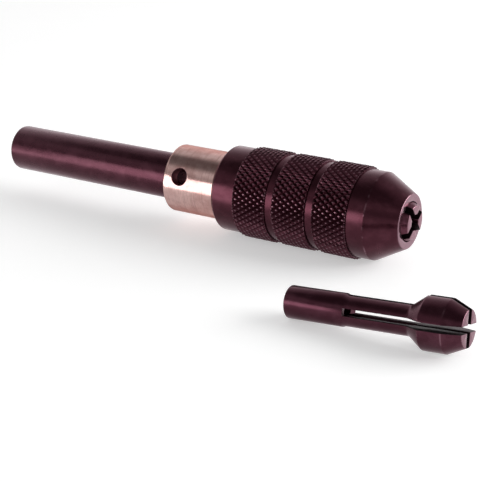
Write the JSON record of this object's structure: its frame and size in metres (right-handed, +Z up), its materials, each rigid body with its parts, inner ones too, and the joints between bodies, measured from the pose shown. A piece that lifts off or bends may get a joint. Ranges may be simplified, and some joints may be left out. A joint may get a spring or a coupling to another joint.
{
  "type": "pin vise",
  "caption": "Collet pin vise with a straight round shank, cross-drilled collar and knurled conical sleeve, with a spare split collet lying beside it.",
  "frame": {"origin": "middle of the shank's flat rear face, on the vise's axis", "axes": "+X along the vise's axis from the shank's rear end to the jaws, +Z up, with the vise lying on its knurled bands and the spare collet on the same surface at -Y"},
  "size_m": [0.0801, 0.0308, 0.0122],
  "materials": {
    "shank_oxide": "black oxide on turned steel, satin",
    "bright_steel": "fine turned and polished",
    "sleeve_oxide": "black oxide on knurled steel, satin",
    "collet_oxide": "black oxide on spring steel, satin"
  },
  "bodies": {
    "spindle": {"shank": "shank_oxide", "chuck_body": "bright_steel"},
    "fitted_collet": {"fitted_collet": "collet_oxide"},
    "sleeve": {"sleeve": "sleeve_oxide"},
    "spare_collet": {"spare_collet": "collet_oxide"}
  },
  "joints": [
    {"name": "collet_slide", "type": "slide", "parent": "spindle", "child": "fitted_collet", "axis": [1, 0, 0], "range_m": [0, 0.01058]},
    {"name": "sleeve_turn", "type": "hinge", "parent": "fitted_collet", "child": "sleeve", "pos_m": [0.0362, 0, 0], "axis": [1, 0, 0], "range_deg": [0, 3600]},
    {"name": "spare_collet_lift", "type": "slide", "parent": "spindle", "child": "spare_collet", "axis": [0, 0, 1], "range_m": [0, 0.03]}
  ],
  "couplings": [
    {"joint": "collet_slide", "follows": "sleeve_turn", "m_per_rad": 0.00016844}
  ]
}
